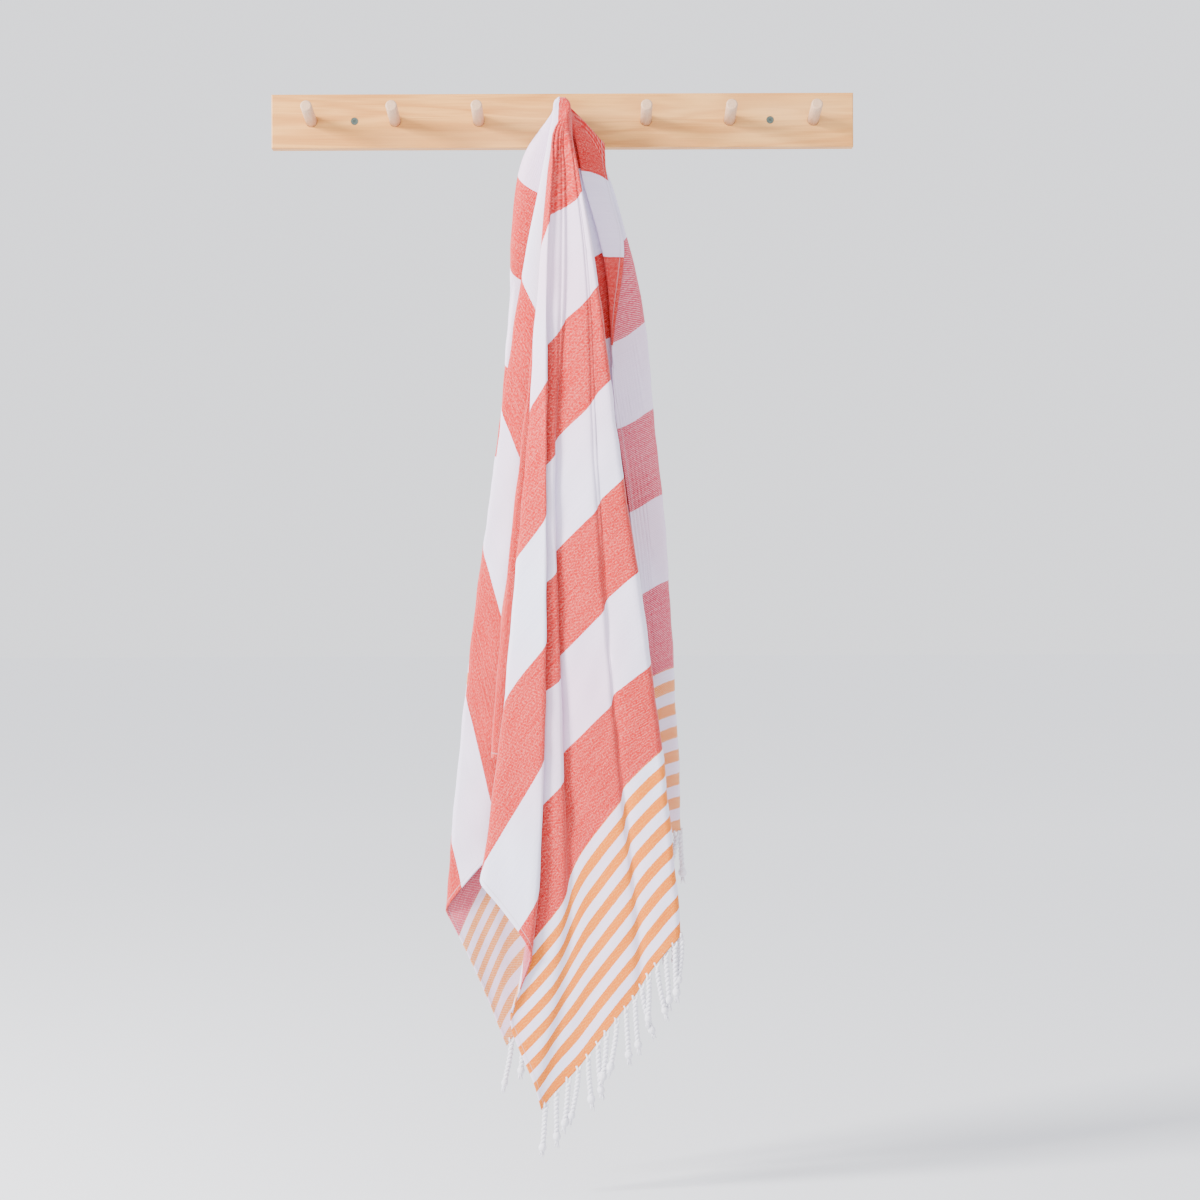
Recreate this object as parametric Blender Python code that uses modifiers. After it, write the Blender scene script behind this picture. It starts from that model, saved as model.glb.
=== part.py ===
"""Striped towel on a wall peg rail: pine board, seven pegs, two screws, one towel, two fringes.

Metres, +Z up. The origin is the centre of the board's back face, which lies on the wall (y = 0);
the pegs point to -Y. The towel hangs from the middle peg as a cone of pleats round one point.
"""
import math

import bmesh
import bpy
from mathutils import Matrix, Vector
from mathutils.bvhtree import BVHTree

# Rail
BOARD_LENGTH = 0.700
BOARD_HEIGHT = 0.065
BOARD_THICK = 0.018
BOARD_EDGE = 0.0012
PEG_COUNT = 7
PEG_PITCH = 0.1006
PEG_RADIUS = 0.0068
PEG_REACH = 0.0625
PEG_SOCKET = 0.011
PEG_TILT = math.radians(7.0)
PEG_ROUNDING = 0.0016
PEG_SIDES = 20
SCREW_X = 0.250
SCREW_HEAD = 0.0044
SCREW_NECK = 0.0019
SCREW_CONE = 0.0030
SCREW_LENGTH = 0.014
SLOT_WIDTH = 0.0009
SLOT_LENGTH = 0.0050
SLOT_DEPTH = 0.0012
FIT = 0.0003

# Towel: how far its cut edges lie from the point on the peg, measured along the cloth
TO_FAR_SELVEDGE = 0.794
TO_NEAR_SELVEDGE = 0.073
TO_END_A = 0.903
TO_END_B = 0.832
SHEET = 0.0014
CREST = Vector((0.0005, -0.0720, 0.0160))
CAP_RADIUS = 0.0096
CAP_FLAT = 0.0060
CAP_NOSE = 0.0055
CAP_BACK = 0.68
CAP_SPREAD = 0.12
CAP_REACH = 0.020
CAP_RINGS = (0.005, 0.010, 0.0155, 0.022, 0.032)
RING_COUNT = 19
RAY_STEP = 0.003
RAY_LIMIT = 1.34
RAY_SAMPLE = 0.6
RAY_GAP = 3.6
RAY_GAP_BACK = 8.0
BACK_FROM = 104.0
CORNER_CLOSE = 0.45
LEAST_FALL = 0.15
BEND = 0.011
LOOP_HALF = 0.0014
LOOP_TURN = 0.5
LOOP_FROM = 0.032
SHARP = 3.0
SHARP_FROM = 0.10
SOFT_NEAR_PEG = 22.0
PEG_CLEAR = 0.0022
OVER_PEG = 138.0
TENT_FLAT = 0.003

# Fringe: a narrow strip parted from each end, with its twisted tassels
TASSEL_COUNT = 37
TASSEL_WIDTH = 0.0046
TASSEL_ASIDE = 0.0060
STRIP_GRAIN = 0.0012
STRIP_GAP = 0.0013
STRIP_DEPTH = 0.0060
TASSEL_CLEAR = 0.0005
TASSEL_RINGS = (
    # distance  radius  turn in degrees
    (0.0070, 0.0020, 0.0),
    (0.0470, 0.0020, 40.0),
    (0.0540, 0.0030, 60.0),
    (0.0660, 0.0013, 80.0),
)

# Distances from the peg point, along the cloth, at which the folds are placed
STATIONS = (0.050, 0.090, 0.190, 0.450, 0.750, 1.000, 1.170)
# The front and the back of the pleats at those distances
FRONT = (-0.090, -0.098, -0.108, -0.118, -0.121, -0.122, -0.122)
BACK = (-0.048, -0.028, -0.017, -0.008, -0.006, -0.006, -0.006)
LAYERS = 14.0

# Every fold, round the peg from the back, over the left, the front and the right to the back again:
# angle on the cloth in degrees from the far selvedge, depth in layers from the front,
# and the sideways place in mm at each station
FOLDS = (
    # name              angle  depth  neck collar upper middle lower foot  tip
    ("back",            -180.0, 14.0, (6, 22, 40, 150, 160, 160, 160)),
    ("back_left",       -135.0, 14.0, (-14, -18, 20, 150, 160, 160, 160)),
    ("back_fall",       -110.0, 13.9, (-19, -28, 6, 150, 160, 160, 160)),
    ("near_edge_b",      -93.5, 13.7, (-22, -38, -38, 66, 112, 122, 122)),
    ("back_wave_3",      -88.0, 13.2, (-23, -42, -56, 34, 72, 80, 80)),
    ("back_wave_2",      -83.0, 13.4, (-23, -44, -62, -4, 12, 10, 10)),
    ("back_wave_1",      -78.0, 12.6, (-22, -42, -61, -46, -54, -60, -60)),
    ("left_side",        -72.0, 11.8, (-20, -37, -54, -87, -125, -135, -135)),
    ("left_inner",       -55.0, 10.8, (-6, -2, 10, 58, 100, 64, 60)),
    ("corner_b",         -46.3, 9.5, (-13, -12, -18, -18, -20, -66, -72)),
    ("flap_left",        -36.5, 7.8, (-18, -24, -46, -85, -123, -143, -143)),
    ("flap_right",       -30.5, 6.3, (-10, -14, -28, -52, -80, -98, -98)),
    ("hidden_right_1",   -14.0, 5.7, (1, 4, 22, 62, 92, 96, 96)),
    ("hidden_left",        1.0, 4.8, (-8, -12, -26, -58, -88, -92, -92)),
    ("hidden_right_2",    16.0, 3.9, (2, 6, 24, 66, 98, 100, 100)),
    ("mid_left",          32.5, 2.1, (-12, -17, -28, -48, -76, -106, -106)),
    ("mid_right",         39.0, 0.2, (-5, -8, -13, -15, -18, -34, -66)),
    ("mid_hidden",        44.0, 1.5, (-7, -11, -19, -34, -50, -44, -82)),
    ("strip_right",       47.6, 0.8, (2, 4, 6, -4, 4, -4, -32)),
    ("strip_hidden",      49.4, 1.8, (-1, 0, 0, -14, -12, 6, -16)),
    ("panel_left",        52.0, 1.4, (6, 7, 10, 1, 14, 24, 20)),
    ("panel_crease",      57.7, 0.5, (11, 15, 28, 41, 63, 82, 84)),
    ("tuck_hidden",       58.6, 1.0, (10, 14, 25, 36, 56, 87, 92)),
    ("tuck_right",        59.5, 0.6, (11, 16, 29, 43, 66, 93, 100)),
    ("panel_right",       64.5, 0.3, (15, 20, 39, 73, 114, 139, 150)),
    ("behind_panel",      68.0, 6.6, (14, 16, 32, 62, 100, 124, 136)),
    ("right_inner",       76.0, 8.4, (8, 10, 18, -16, 12, 20, 20)),
    ("right_side",        91.5, 10.2, (17, 47, 83, 118, 137, 145, 145)),
    ("border_turn",      102.0, 8.3, (12, 19, 42, 56, 40, 20, 20)),
    ("border_upper",     112.0, 8.7, (20, 32, 74, 60, 20, 20, 20)),
    ("border_collar",    125.0, 9.1, (26, 42, 84, 80, 60, 60, 60)),
    ("border_back",      143.0, 9.7, (29, 50, 90, 100, 100, 100, 100)),
    ("border_top",       160.0, 12.2, (22, 46, 90, 120, 130, 130, 130)),
    ("back",             180.0, 14.0, (6, 22, 40, 150, 160, 160, 160)),
)

COLLECTION = "towel_on_peg_rail"
CUTTERS = "cutters"


def clear_scene():
    for old in list(bpy.data.objects):
        bpy.data.objects.remove(old, do_unlink=True)


def collection(name):
    group = bpy.data.collections.new(name)
    bpy.context.scene.collection.children.link(group)
    return group


def material(name, colour, roughness, metallic=0.0):
    finish = bpy.data.materials.new(name)
    finish.use_nodes = True
    shader = finish.node_tree.nodes["Principled BSDF"]
    shader.inputs["Base Color"].default_value = (*colour, 1.0)
    shader.inputs["Roughness"].default_value = roughness
    shader.inputs["Metallic"].default_value = metallic
    return finish


def add_object(name, mesh, finish, group):
    piece = bpy.data.objects.new(name, mesh)
    group.objects.link(piece)
    if finish:
        mesh.materials.append(finish)
    return piece


def mesh_from(bm, name):
    bmesh.ops.recalc_face_normals(bm, faces=bm.faces)
    mesh = bpy.data.meshes.new(name)
    bm.to_mesh(mesh)
    bm.free()
    return mesh


def cut(piece, cutter):
    step = piece.modifiers.new("cut_" + cutter.name, "BOOLEAN")
    step.operation = "DIFFERENCE"
    step.solver = "EXACT"
    step.object = cutter


def make_cutter(name, mesh, group):
    cutter = add_object(name, mesh, None, group)
    cutter.hide_render = True
    cutter.display_type = "WIRE"
    return cutter


def rod_mesh(name, radius, start, end, sides, rounding=0.0):
    """Round rod along +Z from start to end, its far rim rounded."""
    bm = bmesh.new()
    bmesh.ops.create_cone(bm, cap_ends=True, segments=sides, radius1=radius, radius2=radius,
                          depth=end - start)
    bmesh.ops.translate(bm, vec=(0, 0, (start + end) / 2), verts=bm.verts)
    if rounding:
        rim = [e for e in bm.edges if all(v.co.z > end - 1e-6 for v in e.verts)]
        bmesh.ops.bevel(bm, geom=rim, offset=rounding, segments=2, profile=0.5, affect="EDGES")
    return mesh_from(bm, name)


def peg_matrix(index):
    """Peg axis: from the board's face outward, tilted up."""
    x = (index - (PEG_COUNT - 1) / 2) * PEG_PITCH
    turn = Matrix.Rotation(math.radians(90.0) - PEG_TILT, 4, "X")
    return Matrix.Translation((x, -BOARD_THICK, 0.0)) @ turn


def make_rail(group, cutters):
    bm = bmesh.new()
    bmesh.ops.create_cube(bm, size=1.0)
    bmesh.ops.scale(bm, vec=(BOARD_LENGTH, BOARD_THICK, BOARD_HEIGHT), verts=bm.verts)
    bmesh.ops.translate(bm, vec=(0, -BOARD_THICK / 2, 0), verts=bm.verts)
    front = [e for e in bm.edges if all(v.co.y < -BOARD_THICK + 1e-6 for v in e.verts)]
    bmesh.ops.bevel(bm, geom=front, offset=BOARD_EDGE, segments=2, profile=0.5, affect="EDGES")
    board = add_object("rail_board", mesh_from(bm, "rail_board"),
                       material("pine_board", (0.78, 0.56, 0.34), 0.5), group)
    wood = material("peg_wood", (0.80, 0.64, 0.48), 0.55)
    steel = material("screw_steel", (0.20, 0.24, 0.22), 0.45, 0.8)
    peg_shape = rod_mesh("peg", PEG_RADIUS, -PEG_SOCKET, PEG_REACH, PEG_SIDES, PEG_ROUNDING)
    socket_shape = rod_mesh("socket", PEG_RADIUS + FIT, -PEG_SOCKET - FIT, PEG_REACH, PEG_SIDES)
    for index in range(PEG_COUNT):
        peg = add_object("peg_%d" % (index + 1), peg_shape if index == 0 else peg_shape.copy(),
                         None, group)
        if not peg.data.materials:
            peg.data.materials.append(wood)
        peg.matrix_world = peg_matrix(index)
        socket = make_cutter("socket_%d" % (index + 1), socket_shape.copy(), cutters)
        socket.matrix_world = peg_matrix(index)
        cut(board, socket)
    for side, name in ((-1, "left"), (1, "right")):
        place = Matrix.Translation((side * SCREW_X, -BOARD_THICK, 0.0))
        place = place @ Matrix.Rotation(math.radians(-90.0), 4, "X")
        pocket = make_cutter("pocket_" + name, screw_mesh("pocket", FIT, 0.001), cutters)
        pocket.matrix_world = place
        cut(board, pocket)
        screw = add_object("screw_" + name, screw_mesh("screw", 0.0, 0.0), steel, group)
        screw.matrix_world = place
        for turn in (0, 1):
            slot = make_cutter("slot_%s_%d" % (name, turn), slot_mesh(), cutters)
            slot.matrix_world = place @ Matrix.Rotation(math.radians(35.0 + 90.0 * turn), 4, "Z")
            cut(screw, slot)


def screw_mesh(name, play, proud):
    """Countersunk screw along +Z, head at z = 0; play widens it, proud runs it out of the face."""
    bm = bmesh.new()
    rings = ((SCREW_HEAD + play, -proud), (SCREW_HEAD + play, 0.0004),
             (SCREW_NECK + play, SCREW_CONE + play), (SCREW_NECK + play, SCREW_LENGTH + play))
    loops = []
    for radius, z in rings:
        loops.append([bm.verts.new((radius * math.cos(a), radius * math.sin(a), z))
                      for a in (math.tau * k / 16 for k in range(16))])
    bm.faces.new(loops[0])
    bm.faces.new(loops[-1])
    for near, far in zip(loops, loops[1:]):
        for k in range(16):
            bm.faces.new((near[k], near[(k + 1) % 16], far[(k + 1) % 16], far[k]))
    return mesh_from(bm, name)


def slot_mesh():
    bm = bmesh.new()
    bmesh.ops.create_cube(bm, size=1.0)
    bmesh.ops.scale(bm, vec=(SLOT_LENGTH, SLOT_WIDTH, 2 * SLOT_DEPTH), verts=bm.verts)
    return mesh_from(bm, "slot")


def hermite(xs, ys, x):
    """Smooth curve through the points (xs, ys); straight beyond the last."""
    if x >= xs[-1]:
        slope = (ys[-1] - ys[-2]) / (xs[-1] - xs[-2])
        return ys[-1] + slope * (x - xs[-1])
    k = max(i for i in range(len(xs) - 1) if xs[i] <= max(x, xs[0]))

    def slope_at(i):
        if i == 0:
            return (ys[1] - ys[0]) / (xs[1] - xs[0])
        if i == len(xs) - 1:
            return (ys[-1] - ys[-2]) / (xs[-1] - xs[-2])
        before = (ys[i] - ys[i - 1]) / (xs[i] - xs[i - 1])
        after = (ys[i + 1] - ys[i]) / (xs[i + 1] - xs[i])
        share = (xs[i] - xs[i - 1]) / (xs[i + 1] - xs[i - 1])
        return before * (1 - share) + after * share

    width = xs[k + 1] - xs[k]
    t = (x - xs[k]) / width
    a = ys[k]
    b = ys[k + 1]
    m = slope_at(k) * width
    n = slope_at(k + 1) * width
    return (a * (2 * t**3 - 3 * t**2 + 1) + m * (t**3 - 2 * t**2 + t)
            + b * (3 * t**2 - 2 * t**3) + n * (t**3 - t**2))


def cap(r, angle):
    """Plan place of the cloth where it wraps the end of the peg."""
    side = r * abs(math.sin(angle))
    along = r * math.cos(angle)
    x = CAP_RADIUS * math.sin(min(side / CAP_RADIUS, math.pi / 2))
    x += CAP_SPREAD * max(side - CAP_RADIUS * math.pi / 2, 0.0)
    if along < 0.0:
        along *= CAP_BACK
    if along > CAP_FLAT:
        along = CAP_FLAT + CAP_NOSE * math.sin(min((along - CAP_FLAT) / CAP_NOSE, math.pi / 2))
    return CREST.x + math.copysign(x, math.sin(angle)), CREST.y - along


class Folds:
    """The fold lines at one distance r from the peg point."""

    def __init__(self, r):
        self.r = r
        self.angles = [row[1] for row in FOLDS]
        self.points = [self.place(*row[1:]) for row in FOLDS]
        self.sides = [self.side(k) for k in range(len(FOLDS))]

    def place(self, angle, depth, sideways):
        rim = cap(min(self.r, CAP_REACH), math.radians(angle))
        if self.r <= CAP_REACH:
            return rim
        xs = (CAP_REACH,) + STATIONS
        ys = [f + (b - f) * depth / LAYERS for f, b in zip(FRONT, BACK)]
        return (hermite(xs, [rim[0]] + [v / 1000 for v in sideways], self.r),
                hermite(xs, [rim[1]] + ys, self.r))

    def side(self, k):
        """Where the cloth turns back at fold k: +1 if the layer after it is the one behind."""
        if k in (0, len(FOLDS) - 1):
            return 0
        before = Vector(self.points[k - 1]) - Vector(self.points[k])
        after = Vector(self.points[k + 1]) - Vector(self.points[k])
        if before.x * after.x <= 0.0:
            return 0
        return 1 if after.y / abs(after.x) > before.y / abs(before.x) else -1

    def loop(self, degrees, share):
        """Half the gap between two layers at this angle from their fold."""
        width = LOOP_HALF * min(1.0, max(0.0, self.r / LOOP_FROM - 1.0))
        return width * min(1.0, degrees / LOOP_TURN) * (1.0 - share)

    def between(self, angle):
        angle = (angle + 180.0) % 360.0 - 180.0
        k = max(i for i in range(len(self.angles) - 1) if self.angles[i] <= angle)
        t = (angle - self.angles[k]) / (self.angles[k + 1] - self.angles[k])
        a = self.points[k]
        b = self.points[k + 1]
        return a[0] + (b[0] - a[0]) * t, a[1] + (b[1] - a[1]) * t

    def opening(self, angle):
        """How far the cloth stands back from its folded line, so that its layers stay apart."""
        k = max(i for i in range(len(self.angles) - 1) if self.angles[i] <= angle)
        after = angle - self.angles[k]
        before = self.angles[k + 1] - angle
        t = after / (after + before)
        return self.sides[k] * self.loop(after, t) - self.sides[k + 1] * self.loop(before, 1.0 - t)

    def at(self, angle):
        """Plan place of the ray at this angle, its folds rounded over BEND."""
        if self.r <= CAP_REACH:
            return cap(self.r, math.radians(angle))
        near_peg = max(0.0, (SHARP_FROM - self.r) / SHARP_FROM)
        reach = min(math.degrees(BEND / self.r), SHARP + SOFT_NEAR_PEG * near_peg**1.5)
        shares = (-1.0, -0.5, 0.0, 0.5, 1.0)
        places = [self.between(angle + share * reach) for share in shares]
        return (sum(p[0] for p in places) / len(places),
                sum(p[1] for p in places) / len(places) + self.opening(angle))


FOLD_STEPS = [Folds(k * RAY_STEP) for k in range(int(RAY_LIMIT / RAY_STEP))]


def peg_height(y):
    """Height of the middle of the middle peg at this depth."""
    return -(y + BOARD_THICK) * math.tan(PEG_TILT)


def tent(x, y):
    """Lowest height of cloth that lies over the peg; it slopes down on both sides."""
    return peg_height(y) + PEG_RADIUS + PEG_CLEAR - max(0.0, abs(x) - TENT_FLAT)


def off_peg(x, y, z):
    """Push a point sideways out of the middle peg."""
    if y < -BOARD_THICK - PEG_REACH:
        return x, z
    rise = z - peg_height(y)
    gap = math.hypot(x, rise)
    keep = PEG_RADIUS + PEG_CLEAR
    if gap >= keep:
        return x, z
    return x * keep / gap, z + rise * (keep / gap - 1.0)


def ray_points(angle, radii):
    """Points of the hanging cloth along one ray, at the given distances from the peg point."""
    x, y = cap(0.0, 0.0)
    z = CREST.z
    step = RAY_STEP
    line = [(x, y, z)]
    last = int(max(radii) / step) + 2
    for k in range(1, last + 1):
        nx, ny = FOLD_STEPS[k].at(angle)
        plan = math.hypot(nx - x, ny - y)
        z -= math.sqrt(max(step**2 - plan**2, (LEAST_FALL * step)**2))
        x, y = nx, ny
        x, z = off_peg(x, y, z)
        if abs(angle) > OVER_PEG:
            z = max(z, tent(x, y))
        line.append((x, y, z))
    result = []
    for r in radii:
        k = int(r / step)
        t = r / step - k
        result.append(Vector(line[k]).lerp(Vector(line[k + 1]), t))
    return result


def ray_end(angle):
    """Distance from the peg point to the towel's edge at this angle."""
    a = math.radians(angle)
    reach = []
    if math.cos(a) > 1e-6:
        reach.append(TO_FAR_SELVEDGE / math.cos(a))
    if math.cos(a) < -1e-6:
        reach.append(-TO_NEAR_SELVEDGE / math.cos(a))
    if math.sin(a) > 1e-6:
        reach.append(TO_END_A / math.sin(a))
    if math.sin(a) < -1e-6:
        reach.append(-TO_END_B / math.sin(a))
    return min(reach)


def ray_angles():
    """Rays of the sheet: two at every hairpin, one at any other fold and corner, and fillers."""
    corners = [math.degrees(math.atan2(TO_END_A, TO_FAR_SELVEDGE)),
               -math.degrees(math.atan2(TO_END_B, TO_FAR_SELVEDGE)),
               90 + math.degrees(math.atan2(TO_NEAR_SELVEDGE, TO_END_A)),
               -90 - math.degrees(math.atan2(TO_NEAR_SELVEDGE, TO_END_B))]
    sides = FOLD_STEPS[int(RAY_SAMPLE / RAY_STEP)].sides
    marks = list(corners)
    for row, side in zip(FOLDS[:-1], sides):
        near = min(abs(row[1] - corner) for corner in corners)
        if side:
            marks += [row[1] - LOOP_TURN, row[1] + LOOP_TURN]
        elif near > CORNER_CLOSE:
            marks.append(row[1])
    marks = sorted(marks)
    angles = []
    for low, high in zip(marks, marks[1:] + [180.0]):
        limit = RAY_GAP if abs(low) < BACK_FROM else RAY_GAP_BACK
        parts = max(1, round((high - low) / limit))
        angles += [low + (high - low) * k / parts for k in range(parts)]
    return angles


def make_towel(group):
    angles = ray_angles()
    bm = bmesh.new()
    crest = bm.verts.new(CREST)
    outer = RING_COUNT - len(CAP_RINGS)
    start = CAP_RINGS[-1]
    columns = []
    for angle in angles:
        end = ray_end(angle)
        radii = list(CAP_RINGS) + [start + (end - start) * (k / outer) for k in range(1, outer + 1)]
        columns.append([bm.verts.new(p) for p in ray_points(angle, radii)])
    for left, right in zip(columns, columns[1:] + columns[:1]):
        bm.faces.new((crest, left[0], right[0]))
        for k in range(len(left) - 1):
            bm.faces.new((left[k], left[k + 1], right[k + 1], right[k]))
    mesh = mesh_from(bm, "towel")
    towel = add_object("towel", mesh, material("towel_cloth", (0.85, 0.35, 0.30), 0.9), group)
    shell = towel.modifiers.new("sheet", "SOLIDIFY")
    shell.thickness = SHEET
    shell.offset = 0.0
    mesh.shade_smooth()
    return towel


class Rim:
    """One cut end of the cloth, carried on past its edge along the rays."""

    def __init__(self, side, towel):
        self.length = TO_END_A if side > 0 else TO_END_B
        low, high = sorted(side * math.degrees(math.atan2(self.length, q))
                           for q in (TO_FAR_SELVEDGE, -TO_NEAR_SELVEDGE))
        picked = sorted((abs(a), a, k) for k, a in enumerate(ray_angles())
                        if low - 1e-6 < a < high + 1e-6)
        self.angles = [a for _, a, _ in picked]
        self.across = [-self.length / math.tan(math.radians(abs(a))) for a in self.angles]
        self.edge = self.row(0.0)
        count = len(towel.data.vertices)
        solid = towel.evaluated_get(bpy.context.evaluated_depsgraph_get()).to_mesh()
        self.skins = [[solid.vertices[(k + 1) * RING_COUNT + skin * count].co.copy()
                       for _, _, k in picked] for skin in (0, 1)]

    def beside_hairpins(self, q):
        """The nearest place to q where the edge doesn't turn back on itself."""
        for number, row in enumerate(FOLDS):
            side = FOLD_STEPS[int(ray_end(row[1]) / RAY_STEP)].sides[number]
            if not side or row[1] * self.angles[0] <= 0.0:
                continue
            low, high = sorted(-self.length / math.tan(math.radians(abs(row[1]) + turn))
                               for turn in (-LOOP_TURN, LOOP_TURN))
            if low - TASSEL_ASIDE < q < high + TASSEL_ASIDE:
                q = low - TASSEL_ASIDE if q < (low + high) / 2 else high + TASSEL_ASIDE
        return q

    def row(self, beyond):
        """The edge's own corners, this far past it."""
        return [ray_points(a, [math.hypot(self.length, q) + beyond])[0]
                for a, q in zip(self.angles, self.across)]

    def skin_row(self, skin, beyond):
        """The corners of one face of the cloth, this far past its edge."""
        return [corner + there - here
                for corner, there, here in zip(self.skins[skin], self.row(beyond), self.edge)]

    def on_row(self, row, q):
        """A point of such a row at q across the cloth."""
        last = len(row) - 2
        k = max([i for i in range(last + 1) if self.across[i] <= q + 1e-9] or [0])
        t = (q - self.across[k]) / (self.across[k + 1] - self.across[k])
        return row[k].lerp(row[k + 1], t)


def keep_off(point, reach, cloth, taken):
    """Move a tassel's middle away from the cloth, and from the tassels before it."""
    for _ in range(4):
        near, _, _, gap = cloth.find_nearest(point)
        if gap < reach + SHEET / 2:
            point = near + (point - near).normalized() * (reach + SHEET / 2)
        for other in taken:
            away = point - other
            if away.length < 2 * reach:
                point = other + away.normalized() * 2 * reach
    return point


def make_fringe(name, rim, finish, group, cloth, taken):
    """Strip of cloth along one end with its tassels grown from its lower rim."""
    width = TO_FAR_SELVEDGE + TO_NEAR_SELVEDGE
    pitch = width / TASSEL_COUNT
    middles = [rim.beside_hairpins(-TO_FAR_SELVEDGE + pitch * (k + 0.5)) for k in range(TASSEL_COUNT)]
    starts = [q - TASSEL_WIDTH / 2 for q in middles]
    ends = [q + TASSEL_WIDTH / 2 for q in middles]
    free = [q for q in rim.across
            if not any(a - STRIP_GRAIN < q < b + STRIP_GRAIN for a, b in zip(starts, ends))]
    places = sorted(free + starts + ends)
    corners = [(skin, beyond) for skin, beyond in
               ((0, STRIP_GAP), (0, STRIP_DEPTH), (1, STRIP_DEPTH), (1, STRIP_GAP))]
    rows = [rim.skin_row(skin, beyond) for skin, beyond in corners]
    hung = [rim.row(STRIP_DEPTH + ring[0]) for ring in TASSEL_RINGS]
    bm = bmesh.new()
    sections = [[bm.verts.new(rim.on_row(row, q)) for row in rows] for q in places]
    bm.faces.new(sections[0])
    bm.faces.new(sections[-1])
    for q, a, b in zip(places, sections, sections[1:]):
        bm.faces.new((a[0], b[0], b[1], a[1]))
        bm.faces.new((a[2], b[2], b[3], a[3]))
        bm.faces.new((b[3], b[0], a[0], a[3]))
        if q in starts:
            middle = middles[starts.index(q)]
            path = [rim.on_row(row, middle) for row in hung]
            grow_tassel(bm, path, (a[1], b[1], b[2], a[2]), cloth, taken)
        else:
            bm.faces.new((a[1], b[1], b[2], a[2]))
    return add_object(name, mesh_from(bm, name), finish, group)


def grow_tassel(bm, path, root, cloth, taken):
    start = (root[0].co + root[1].co + root[2].co + root[3].co) / 4
    last = list(root)
    before = start
    for hung, (_, radius, turn) in zip(path, TASSEL_RINGS):
        middle = keep_off(hung, radius * math.sqrt(2.0) + TASSEL_CLEAR, cloth, taken)
        down = (middle - before).normalized()
        through = root[0].co - root[3].co
        through = (through - down * through.dot(down)).normalized()
        level = through.cross(down)
        if level.dot(root[1].co - root[0].co) < 0.0:
            level = -level
        ring = []
        for corner in range(4):
            a = math.radians(135.0 - 90.0 * corner + turn)
            ring.append(bm.verts.new(middle + (level * math.cos(a) + through * math.sin(a))
                                     * radius * math.sqrt(2.0)))
        for k in range(4):
            bm.faces.new((last[k], last[(k + 1) % 4], ring[(k + 1) % 4], ring[k]))
        last = ring
        before = middle
    bm.faces.new(last)
    points = [start] + path
    for high, low in zip(points, points[1:]):
        taken += [high.lerp(low, k / 4) for k in range(1, 5)]


def main():
    clear_scene()
    group = collection(COLLECTION)
    cutters = collection(CUTTERS)
    make_rail(group, cutters)
    towel = make_towel(group)
    cloth = BVHTree.FromPolygons([v.co for v in towel.data.vertices],
                                 [tuple(p.vertices) for p in towel.data.polygons])
    taken = []
    cord = material("fringe_cotton", (0.86, 0.84, 0.84), 0.95)
    make_fringe("fringe_a", Rim(1, towel), cord, group, cloth, taken)
    make_fringe("fringe_b", Rim(-1, towel), cord, group, cloth, taken)


main()
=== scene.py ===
import math

import bmesh
import bpy
import numpy as np
from mathutils import Matrix, Vector


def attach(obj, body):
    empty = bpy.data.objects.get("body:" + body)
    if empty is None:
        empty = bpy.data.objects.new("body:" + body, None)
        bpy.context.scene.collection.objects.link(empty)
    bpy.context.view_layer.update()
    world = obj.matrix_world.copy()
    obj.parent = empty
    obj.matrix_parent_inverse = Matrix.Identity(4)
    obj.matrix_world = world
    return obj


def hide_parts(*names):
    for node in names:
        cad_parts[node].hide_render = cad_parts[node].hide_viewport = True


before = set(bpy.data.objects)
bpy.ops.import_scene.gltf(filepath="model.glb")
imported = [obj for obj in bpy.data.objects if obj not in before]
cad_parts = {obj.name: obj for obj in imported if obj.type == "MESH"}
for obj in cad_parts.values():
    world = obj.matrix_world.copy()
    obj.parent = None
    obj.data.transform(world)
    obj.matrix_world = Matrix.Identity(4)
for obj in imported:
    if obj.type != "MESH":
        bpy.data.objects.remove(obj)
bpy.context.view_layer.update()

# Rail, as in the CAD part
BOARD_THICK = 0.018
PEG_COUNT = 7
PEG_PITCH = 0.1006
PEG_RADIUS = 0.0068
PEG_REACH = 0.0625
PEG_TILT = math.radians(7.0)
PEG_ROUNDING = 0.0016
PEG_BEVEL = 0.00045
PEG_SIDES = 40
PEG_HIDDEN = 0.004

# Towel: how far its edges lie from the point on the peg, measured along the cloth
TO_FAR_SELVEDGE = 0.794
TO_NEAR_SELVEDGE = 0.073
TO_END_A = 0.903
TO_END_B = 0.832
FLAT_WIDTH = TO_FAR_SELVEDGE + TO_NEAR_SELVEDGE
FLAT_LENGTH = TO_END_A + TO_END_B
SHEET = 0.0012

# Hems: their width, how much thicker the cloth is there, and how far from the peg they start
HEM_WIDTH = 0.006
HEM_EXTRA = 0.9
HEM_RAMP = 1.5
HEM_FROM = 0.06

# The cloth on the peg: the point it hangs by, and how it wraps the peg's end
CREST = (0.0005, -0.0720, 0.0160)
CAP_RADIUS = 0.0096
CAP_FLAT = 0.0060
CAP_NOSE = 0.0055
CAP_BACK = 0.68
CAP_SPREAD = 0.12
CAP_REACH = 0.020

# Rays are followed from that point in steps, each falling at least this share of its length
RAY_STEP = 0.003
RAY_LIMIT = 1.36
LEAST_FALL = 0.15

# Folds are rounded over BEND metres, but over no more than SHARP degrees away from the peg
BEND = 0.011
SHARP = 3.0
SHARP_FROM = 0.10
SOFT_NEAR_PEG = 22.0
SOFT_POWER = 1.5
BEND_SHARES = (-1.0, -0.75, -0.5, -0.25, 0.0, 0.25, 0.5, 0.75, 1.0)

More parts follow.
